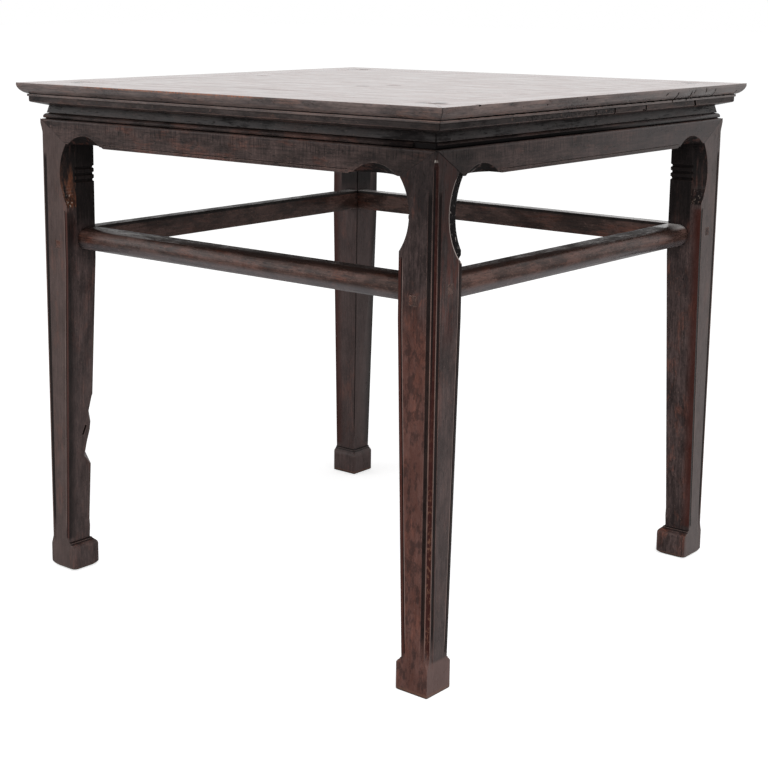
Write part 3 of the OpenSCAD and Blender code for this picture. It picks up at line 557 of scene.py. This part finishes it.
def paint_small_marks(s, at, base):
    """The carved band's rim painted pale, partly as a worn edge and partly as a highlight, the chip at the
    near corner, the feet's dark ledges and worn soles.
    """
    # The carved band's rim is painted pale, partly as a worn edge and partly as a highlight.
    from_middle = s.length(s.minus(at.y, -CARVED_MIDDLE[0]), s.minus(at.z, CARVED_MIDDLE[1]))
    rim = s.all_of(s.band(from_middle, CARVED_RADIUS - 0.0002, CARVED_RADIUS + 0.0014, soft=0.0003),
                   at.near_leg, at.right_face, s.band(at.z, ARCH_BOTTOM - 0.02, ARCH_TOP - 0.002))
    base = s.cover(base, colour(186, 172, 166), rim, 0.8)
    chip = s.all_of(at.near_leg, s.ramp(at.right_face, 0, 1, 1, 0), s.ramp(at.along, 0.0042, 0.0034),
                    s.band(at.z, APRON_TOP - 0.0170, APRON_TOP - 0.0135, soft=0.0005))
    base = s.cover(base, colour(232, 222, 212), chip)
    ledge = s.all_of(s.ramp(s.toward()["Z"], 0.3, 0.5),
                     s.band(at.z, ANKLE - 0.0045, ANKLE + 0.003, soft=0.001))
    base = s.cover(base, colour(6, 4, 4), ledge, 0.85)
    less_on_near_leg = s.ramp(at.near_leg, 0, 1, 0.6, 0.3)
    return s.cover(base, colour(146, 108, 88), s.ramp(at.z, *SOLE_BELOW), less_on_near_leg)


def dress_leg(s, base):
    at = LegSpot(s)
    for paint in (paint_tones, paint_arch, paint_corner, paint_inner_edge, paint_small_marks):
        base = paint(s, at, base)
    return base


# ---- What is painted over the other kinds of piece ----

SCRATCHED = (APRON_TOP - 0.018, APRON_TOP - 0.002)          # heights on the aprons
EDGE_GROOVE = (EDGE_LINE - 0.0006, EDGE_LINE + 0.0010)      # heights on the frame's edge
EDGE_RIM = (EDGE_LINE - 0.0016, EDGE_LINE - 0.0008)
CHIPS_ABOVE = (TOP - 0.0032, TOP - 0.0016)
CHIPPED = (-0.26, 0.11)                                     # along the frame's front
PITTED = (-0.24, 0.05)                                      # along the right strip
STRIP_RIM = (FRAME_BOTTOM - 0.010, FRAME_BOTTOM - 0.0084)
BEAD_BLACK_BELOW = (APRON_TOP + 0.0066, APRON_TOP + 0.0054)
STRETCHER_LINE = (STRETCHER_TOP - 0.0054, STRETCHER_TOP - 0.0004)


def dress_apron(s, base):
    """Upright scratches and streaks, a right side painted greyer toward the back as sheen and darker toward
    the front as shade, and an underside painted black as shade.
    """
    at = Spot(s)
    ticks = s.ramp(s.noise(Z, stretch=14, scale=420, detail=3, rough=0.6, offset=6.1), 0.52, 0.60)
    base = s.cover(base, colour(8, 5, 5), ticks, s.band(at.z, *SCRATCHED, soft=0.004), 0.6)
    upright = s.noise(Z, stretch=12, scale=300, detail=3, rough=0.6, offset=10.1)
    base = s.mix(1.0, base, s.grey(s.ramp(upright, 0.40, 0.62, 0.82, 1.14)), "MULTIPLY")
    right_face = s.facing_right()
    # Painted sheen on the right side, greyer toward the back, and painted shade on it toward the near
    # corner.
    base = s.cover(base, colour(82, 79, 79), right_face, s.ramp(at.y, -0.35, 0.4, 0.05, 0.6))
    base = s.cover(base, colour(20, 17, 17), right_face, s.ramp(at.y, 0.05, -0.3, 0, 0.3))
    # Painted shade: faces that look down are black, with reddish streaks.
    streaks = s.noise(X, stretch=1, scale=90, detail=4, rough=0.65, offset=14.2)
    black = s.mix(s.ramp(streaks, 0.5, 0.64), colour(5, 3, 3), colour(58, 28, 20))
    return s.cover(base, black, s.ramp(s.toward()["Z"], 0.1, -0.1), s.ramp(at.depth, 0.0006, 0.0012), 0.9)


def dress_frame(s, base):
    """A black groove in the edge with a pale line under it painted as a highlight, chips in front, and a far
    right end painted paler as sheen.
    """
    at = Spot(s)
    right_face, side = s.facing_right(), s.ramp(s.toward()["Z"], 0.8, 0.7)
    ragged = s.noise(X, stretch=1, scale=240, detail=4, rough=0.7, offset=3.7)
    height = s.plus(at.z, s.times(s.minus(ragged, 0.5), 0.0022))
    wider = s.times(right_face, 0.0006)
    groove = s.band(height, s.minus(EDGE_GROOVE[0], wider), s.plus(EDGE_GROOVE[1], wider), soft=0.0003)
    base = s.cover(base, colour(4, 3, 3), groove, side, 0.95)
    # Painted highlight: the pale line under the groove.
    rim = s.band(height, *EDGE_RIM, soft=0.0003)
    base = s.cover(base, colour(150, 112, 98), rim, side, s.ramp(ragged, 0.40, 0.55), 0.6)
    # Painted sheen: the right side is paler toward the back.
    base = s.cover(base, colour(132, 126, 124), right_face, s.ramp(at.y, -0.2, 0.4, 0, 0.5))
    chips = s.all_of(s.ramp(s.toward()["Y"], -0.4, -0.6), s.ramp(height, *CHIPS_ABOVE),
                     s.ramp(ragged, 0.46, 0.54), s.band(at.x, *CHIPPED, soft=0.03))
    return s.cover(base, colour(158, 92, 58), chips, 0.9)


def dress_strip(s, base):
    """A pale line along the strip's lower edge painted as a highlight, and a pitted stretch on the right
    side that is painted darker toward the front as shade.
    """
    x, y, z = s.place()
    right_side = s.ramp(x, 0.40, 0.43)
    # Painted shade: the right side is darker toward the near corner.
    base = s.cover(base, colour(26, 22, 22), right_side, s.ramp(y, 0.2, -0.2, 0, 0.4))
    pits = s.ramp(s.noise(Y, stretch=1, scale=330, detail=3, rough=0.6, offset=18.4), 0.52, 0.58)
    base = s.cover(base, colour(3, 2, 2), pits, right_side, s.band(y, *PITTED, soft=0.03), 0.8)
    # Painted highlight: the pale line along the lower edge.
    rim = s.all_of(s.band(z, *STRIP_RIM, soft=0.0004), s.ramp(s.toward()["Z"], -0.75, -0.55))
    ragged = s.noise(X, stretch=1, scale=120, detail=4, rough=0.7, offset=2.9)
    return s.cover(base, colour(132, 104, 96), rim, s.ramp(ragged, 0.38, 0.55, 0.1, 0.7))


def dress_bead(s, base):
    """The right bead is painted greyer toward the back as sheen, and its lower half is black, most of all
    near the front.
    """
    x, y, z = s.place()
    right_side = s.ramp(x, 0.3, 0.4)
    # Painted sheen: the right side is greyer toward the back.
    base = s.cover(base, colour(104, 100, 100), right_side, s.ramp(y, -0.2, 0.35, 0, 0.5))
    more_to_front = s.ramp(y, 0.38, -0.10, 0.4, 1)
    return s.cover(base, colour(4, 3, 3), s.ramp(z, *BEAD_BLACK_BELOW), right_side, more_to_front)


def dress_stretcher(s, base):
    """A dark top (pale on the back one, as a painted reflection), a greyer underside, and a black line along
    the inner face's top.
    """
    x, y, z = s.place()
    toward = s.toward()
    outward = s.plus(s.times(toward["X"], x), s.times(toward["Y"], y))
    # Painted reflection: the back stretcher's top is pale, the others' tops dark.
    above = s.mix(s.ramp(y, 0.30, 0.36), colour(16, 7, 5), colour(200, 196, 194))
    base = s.cover(base, above, s.ramp(toward["Z"], 0.6, 0.95), 0.85)
    under = s.all_of(s.ramp(toward["Z"], -0.05, -0.5), s.ramp(outward, 0.0, 0.1))
    base = s.cover(base, colour(122, 119, 122), under, 0.5)
    line = s.all_of(s.ramp(outward, -0.1, -0.3), s.band(z, *STRETCHER_LINE, soft=0.0006))
    return s.cover(base, colour(5, 3, 3), line, 0.85)


def dress_break(s, base):
    """The inside of old damage: black, with pale glints."""
    flecks = s.noise(Z, stretch=2, scale=300, detail=4, rough=0.7, offset=4.4)
    return s.cover(colour(6, 4, 4), colour(190, 182, 176), s.ramp(flecks, 0.60, 0.66), 0.8)


def dress_crack(s, base):
    return s.cover(base, colour(3, 2, 2), 0.9)


def corner_joint(s):
    return Spot(s).corner


def mitre_joint(s):
    """The distance to the mitre, which counts as far off behind the outer face."""
    at = Spot(s)
    return s.plus(at.mitre, s.ramp(at.depth, 0.002, 0.003, 0, 0.1))


# ---- Which finish each node has ----

FINISHES = {
    "frame": finish(dark=(66, 55, 53), body=(102, 87, 83), patch=(128, 92, 78), patch_share=0.5, bump=0.7,
                    gloss=0.45),
    "top_board": finish(gloss=0.45),
    "strip": finish(dark=(36, 30, 29), body=(62, 53, 51), patch=(96, 68, 58), patch_share=0.5),
    "waist": finish(dark=(30, 25, 25), body=(54, 47, 46), patch=(66, 46, 40), patch_share=0.4, edge_wear=0.3,
                    dirt=0.7, gloss=0.16),
    "bead": finish(dark=(34, 28, 27), body=(60, 50, 48), patch=(88, 60, 52), edge_wear=0.4, gloss=0.06),
    "apron": finish(dark=(52, 42, 40), body=(72, 58, 55), patch=(102, 62, 50), patch_share=0.5),
    "leg": finish(dark=(46, 36, 35), body=(74, 60, 58), patch=(114, 68, 54), patch_share=0.5, grain=0.42),
    "stretcher": finish(dark=(52, 38, 34), body=(84, 63, 57), patch=(108, 64, 50), patch_share=0.5,
                        rough=0.26, gloss=0.2),
    "batten": finish(rough=0.55),
    "strip_nails": finish(body=(60, 46, 36), rough=0.5),
}
JOINTS = {"frame": corner_joint, "strip": corner_joint, "waist": corner_joint, "bead": corner_joint,
          "apron": mitre_joint, "leg": mitre_joint}
DRESSES = {"leg": dress_leg, "apron": dress_apron, "frame": dress_frame, "strip": dress_strip,
           "bead": dress_bead, "stretcher": dress_stretcher}
REACH_THE_TOP = ("frame", "top_board", "leg")


def kind_of(name):
    """The longest name in FINISHES that a node's name starts with."""
    return max((kind for kind in FINISHES if name.startswith(kind)), key=len)


def axis_of(name):
    """The axis that a node's grain runs along."""
    if name.startswith("leg"):
        return Z
    if name.startswith("top_board"):
        return X
    if name.startswith("batten"):
        return Y
    return ALONG.get(name.split("_")[-1], X)


def paint_nodes():
    """Gives each node the material of its kind and of its grain's axis."""
    made = {}
    for name, node in nodes.items():
        kind, axis = kind_of(name), axis_of(name)
        if (kind, axis) not in made:
            made[kind, axis] = lacquered_wood(f"{kind}_{'xyz'[axis]}", axis, FINISHES[kind],
                                              kind in REACH_THE_TOP, JOINTS.get(kind), DRESSES.get(kind))
        for slot in node.material_slots:
            slot.material = made[kind, axis]


# ---- Cutters for old damage and worn feet ----

# Cracks and pits in the right side, as place along it, height, width, length, and lean in degrees
FRAME_CRACKS = [
    (0.206, 0.8505, 0.0030, 0.017, 8), (0.253, 0.8505, 0.0034, 0.016, 12),
    (0.262, 0.858, 0.0024, 0.007, -30), (0.168, 0.857, 0.0060, 0.0026, 35),
    (0.302, 0.859, 0.0026, 0.008, 20), (0.336, 0.854, 0.0020, 0.012, 10),
    (-0.190, 0.857, 0.0024, 0.0022, 0), (-0.083, 0.861, 0.0026, 0.0040, 0),
    (-0.363, 0.8645, 0.0050, 0.0034, 20), (0.418, 0.853, 0.0020, 0.0030, 0),
    (-0.253, 0.857, 0.0016, 0.0016, 0),
]
STRIP_CRACKS = [
    (0.027, 0.835, 0.0040, 0.013, 4), (-0.030, 0.834, 0.0030, 0.008, 15),
    (0.125, 0.835, 0.0040, 0.012, 0), (0.291, 0.837, 0.0060, 0.012, 25),
    (0.118, 0.8325, 0.0050, 0.005, 0),
]
CRACK_THICK = 0.014                             # half of it is inside the wood

EDGE_FOOT = STRIP_FACE + 0.002                  # where the frame's moulded edge starts
EDGE_SLOPE, EDGE_BULGE = 0.013, 0.010           # how far it leans out, and how much it bulges on the way

SEAM_FROM, SEAM_TO, SEAM_STEPS = -0.405, 0.432, 140
SEAM_DEPTH, SEAM_ROOM = 0.003, 0.02             # into the wood, and how far the cutter stands out of it
SEAM_HALF, SEAM_WANDER = 0.0006, 0.0005         # least half height, and how far its middle strays

CARVING_THICK = 0.01                            # of the disc that cuts the carved band
NICK_SIZE = 0.007
BEAD_END = (0.402, -0.4215, APRON_TOP + 0.0056)
BEAD_END_SIZE = (0.050, 0.012, 0.0085)

# Per leg, which way it stands from the middle, and how far its sole's edges are worn round
SOLES = {
    "leg_front_right": (1, -1, 0.004), "leg_front_left": (-1, -1, 0.012),
    "leg_back_right": (1, 1, 0.010), "leg_back_left": (-1, 1, 0.005),
}
SIDE_GAP = 0.0003       # between a foot's faces and the worn shape that trims it
TRIM_REACH = 0.1        # how far the trimming shape reaches round the leg above the foot
TRIM_FROM, TRIM_TO = 0.0562, 1.0
SOLE_STEPS, CORNER_STEPS = 5, 4

# How the worn shape draws in over the top of a foot's inner sides, as how far and at what height
SHOULDER = [(-SIDE_GAP, 0.037), (0.0004, 0.041), (0.0016, 0.0442), (0.0040, 0.0470), (0.0080, 0.0503),
            (0.0080, 0.056)]


def box_mesh(mesh, middle, size, turn=None):
    """Adds a box to a mesh that is being built."""
    made = bmesh.ops.create_cube(mesh, size=1)
    place = Matrix.Translation(middle) @ (turn or Matrix()) @ Matrix.Diagonal((*size, 1))
    bmesh.ops.transform(mesh, matrix=place, verts=made["verts"])


def close_loft(mesh, loops):
    """Joins loops of as many points into one closed skin."""
    for low, high in zip(loops, loops[1:]):
        for index in range(len(low)):
            after = (index + 1) % len(low)
            mesh.faces.new((low[index], low[after], high[after], high[index]))
    mesh.faces.new(loops[0])
    mesh.faces.new(loops[-1])
    bmesh.ops.recalc_face_normals(mesh, faces=mesh.faces)


def cutter(name, build, material=None):
    """A hidden object whose mesh is made by build(bmesh), used only to cut. Cut faces take its material."""
    mesh = bmesh.new()
    build(mesh)
    data = bpy.data.meshes.new(name)
    mesh.to_mesh(data)
    mesh.free()
    if material:
        data.materials.append(material)
    tool = bpy.data.objects.new(name, data)
    scene.collection.objects.link(tool)
    tool.hide_render = True
    tool.hide_set(True)
    return tool


def edge_face(z):
    """How far out the frame's moulded edge stands at a height, roughly."""
    share = (z - EDGE_LINE) / (TOP - EDGE_BAND - EDGE_LINE)
    return EDGE_FOOT + EDGE_SLOPE * max(0, min(1, share)) + EDGE_BULGE * max(0, share * (1 - share))


def cut_cracks(mesh, cracks, face_of):
    for place, level, width, length, lean in cracks:
        turn = Matrix.Rotation(math.radians(lean), 4, "X")
        box_mesh(mesh, (face_of(level), place, level), (CRACK_THICK, width, length), turn)


def cut_seam(mesh):
    """The ragged black line along the frame's fine groove, on the right side."""
    inside, outside = edge_face(EDGE_LINE) - SEAM_DEPTH, edge_face(EDGE_LINE) + SEAM_ROOM
    loops = []
    for index in range(SEAM_STEPS + 1):
        y = SEAM_FROM + (SEAM_TO - SEAM_FROM) * index / SEAM_STEPS
        middle = EDGE_LINE + 0.0002 + SEAM_WANDER * math.sin(index * 1.9) * math.sin(index * 0.7)
        half = SEAM_HALF + SEAM_HALF * abs(math.sin(index * 2.3))
        corners = [(inside, middle - half), (outside, middle - half),
                   (outside, middle + half), (inside, middle + half)]
        loops.append([mesh.verts.new((x, y, z)) for x, z in corners])
    close_loft(mesh, loops)


def cut_carved_band(mesh):
    """A shallow round step beside the near leg's right arch."""
    across, level = CARVED_MIDDLE
    made = bmesh.ops.create_cone(mesh, cap_ends=True, segments=96, radius1=CARVED_RADIUS,
                                 radius2=CARVED_RADIUS, depth=CARVING_THICK)
    place = Matrix.Translation((LEG_OUTER - CARVED_DEPTH + CARVING_THICK / 2, -across, level))
    bmesh.ops.transform(mesh, matrix=place @ Matrix.Rotation(math.radians(90), 4, "Y"), verts=made["verts"])


def cut_nick(mesh):
    """The nick in the near leg's inner edge, under the carved band."""
    turn = Matrix.Rotation(math.radians(45), 4, "X")
    middle = (LEG_OUTER - 0.004, -LEG_OUTER + LEG_SIZE, ARCH_BOTTOM - 0.011)
    box_mesh(mesh, middle, (0.020, NICK_SIZE, NICK_SIZE), turn)


def cut_bead_end(mesh):
    """The bead moulding's nose is worn away beside the near corner."""
    box_mesh(mesh, BEAD_END, BEAD_END_SIZE)


def foot_ring(mesh, to_x, to_y, outer, inner, level):
    """One level loop of the worn foot: a round-cornered square whose sides are set in by outer and inner."""
    low, high = outer, FOOT_WIDTH - inner
    # Radii of the corner under the leg's own corner, and of the other three
    first, others = max(outer, 0) * 1.6 + 0.0005, max(outer, 0) * 1.2 + 0.003
    corners = [(low, low, 180, first), (high, low, 270, others),
               (high, high, 0, others), (low, high, 90, others)]
    points = []
    for across, deep, start, radius in corners:
        middle_x = across + radius if across == low else across - radius
        middle_y = deep + radius if deep == low else deep - radius
        for step in range(CORNER_STEPS + 1):
            turn = math.radians(start + step * 90 / CORNER_STEPS)
            x, y = middle_x + radius * math.cos(turn), middle_y + radius * math.sin(turn)
            points.append(mesh.verts.new((to_x * (LEG_OUTER - x), to_y * (LEG_OUTER - y), level)))
    return points


def worn_foot(mesh, to_x, to_y, wear):
    """The shape that a leg is trimmed to: a foot with a round sole and shoulders, and free room above it."""
    rings = []
    for step in range(SOLE_STEPS + 1):
        turn = math.radians(step * 90 / SOLE_STEPS)
        inset = wear * (1 - math.sin(turn)) - SIDE_GAP
        rings.append((inset, inset, wear * (1 - math.cos(turn)) - SIDE_GAP))
    rings += [(-SIDE_GAP, inset, level) for inset, level in SHOULDER]
    rings += [(-TRIM_REACH, -TRIM_REACH, level) for level in (TRIM_FROM, TRIM_TO)]
    close_loft(mesh, [foot_ring(mesh, to_x, to_y, *ring) for ring in rings])


# ---- Cuts and softened edges on the CAD nodes ----

WELD_WITHIN = 0.00002
EDGE_ROUND, BOARD_EDGE_ROUND = 0.0005, 0.0002

INSIDES = {"break": lacquered_wood("break_inside", Z, LACQUER, dress=dress_break),
           "crack": lacquered_wood("crack_inside", Y, LACQUER, dress=dress_crack)}

# Per piece, its cuts and what the inside of each looks like
DAMAGE = {
    "frame_right": [(lambda mesh: cut_cracks(mesh, FRAME_CRACKS, edge_face), "crack"), (cut_seam, "crack")],
    "strip_right": [(lambda mesh: cut_cracks(mesh, STRIP_CRACKS, lambda level: STRIP_FACE), "crack")],
    "leg_front_right": [(cut_carved_band, "break"), (cut_nick, "crack")],
    "bead_front": [(cut_bead_end, "crack")],
}


def soften_edges(name, node):
    """Joins the CAD mesh's split corners, cuts old damage, and takes its edges off, as long use does."""
    weld = node.modifiers.new("weld", "WELD")
    weld.merge_threshold = WELD_WITHIN
    for index, (build, inside) in enumerate(DAMAGE.get(name, [])):
        cut = node.modifiers.new(f"damage_{index}", "BOOLEAN")
        cut.operation, cut.solver, cut.material_mode = "DIFFERENCE", "EXACT", "TRANSFER"
        cut.object = cutter(f"{name}_damage_{index}", build, INSIDES[inside])
    if name in SOLES:
        trim = node.modifiers.new("worn_foot", "BOOLEAN")
        trim.operation, trim.solver = "INTERSECT", "EXACT"
        trim.object = cutter(f"{name}_foot", lambda mesh: worn_foot(mesh, *SOLES[name]))
    bevel = node.modifiers.new("worn_edges", "BEVEL")
    bevel.width = BOARD_EDGE_ROUND if name.startswith("top_board") else EDGE_ROUND
    bevel.segments = 2
    bevel.limit_method = "ANGLE"
    bevel.angle_limit = math.radians(30)
    bevel.harden_normals = True


# ---- Floor, world and lamps ----

FLOOR_SIZE = 90
FLOOR_GLOW = 0.66       # seen by the camera only, so that the floor is white and the table isn't lit by it
AMBIENT = 0.5


def make_floor():
    bpy.ops.mesh.primitive_plane_add(size=FLOOR_SIZE, location=(0, 0, 0))
    floor = bpy.context.active_object
    floor.name = "floor"
    material, s = new_material("floor")
    seen = s.add("LightPath")
    glow = s.times(seen.outputs["Is Camera Ray"], FLOOR_GLOW)
    glow = s.add("Emission", {"Color": (1, 1, 1, 1), "Strength": glow})
    matt = s.add("BsdfDiffuse", {"Color": colour(225, 225, 225)})
    both = s.add("AddShader")
    s.put(both.inputs[0], matt.outputs[0])
    s.put(both.inputs[1], glow.outputs[0])
    s.add("OutputMaterial", {"Surface": both.outputs[0]})
    floor.data.materials.append(material)


def make_world():
    """White where it is seen or mirrored, and a weaker light on everything."""
    world = bpy.data.worlds.new("studio")
    world.use_nodes = True
    scene.world = world
    s = Shader(world.node_tree)
    seen = s.add("LightPath")
    mirror = s.math("MAXIMUM", seen.outputs["Is Glossy Ray"], seen.outputs["Is Transmission Ray"])
    white = s.math("MAXIMUM", seen.outputs["Is Camera Ray"], mirror)
    background = s.add("Background", {"Color": (1, 1, 1, 1), "Strength": s.ramp(white, 0, 1, AMBIENT, 1)})
    s.add("OutputWorld", {"Surface": background.outputs[0]})


def make_lamp(name, place, aim, size, power):
    lamp = bpy.data.objects.new(name, bpy.data.lights.new(name, "AREA"))
    scene.collection.objects.link(lamp)
    lamp.location = place
    lamp.rotation_euler = (Vector(aim) - Vector(place)).to_track_quat("-Z", "Y").to_euler()
    lamp.data.shape = "RECTANGLE"
    lamp.data.size, lamp.data.size_y = size
    lamp.data.energy = power


make_camera()
make_world()
make_floor()
make_lamp("key", place=(2.2, -1.5, 3.3), aim=(0, 0, 0.3), size=(3.0, 3.0), power=100)
make_lamp("fill", place=(-2.6, -2.6, 1.8), aim=(0, 0, 0.4), size=(2.4, 2.0), power=24)
paint_nodes()
for name, node in nodes.items():
    soften_edges(name, node)

scene.view_settings.view_transform = "Standard"
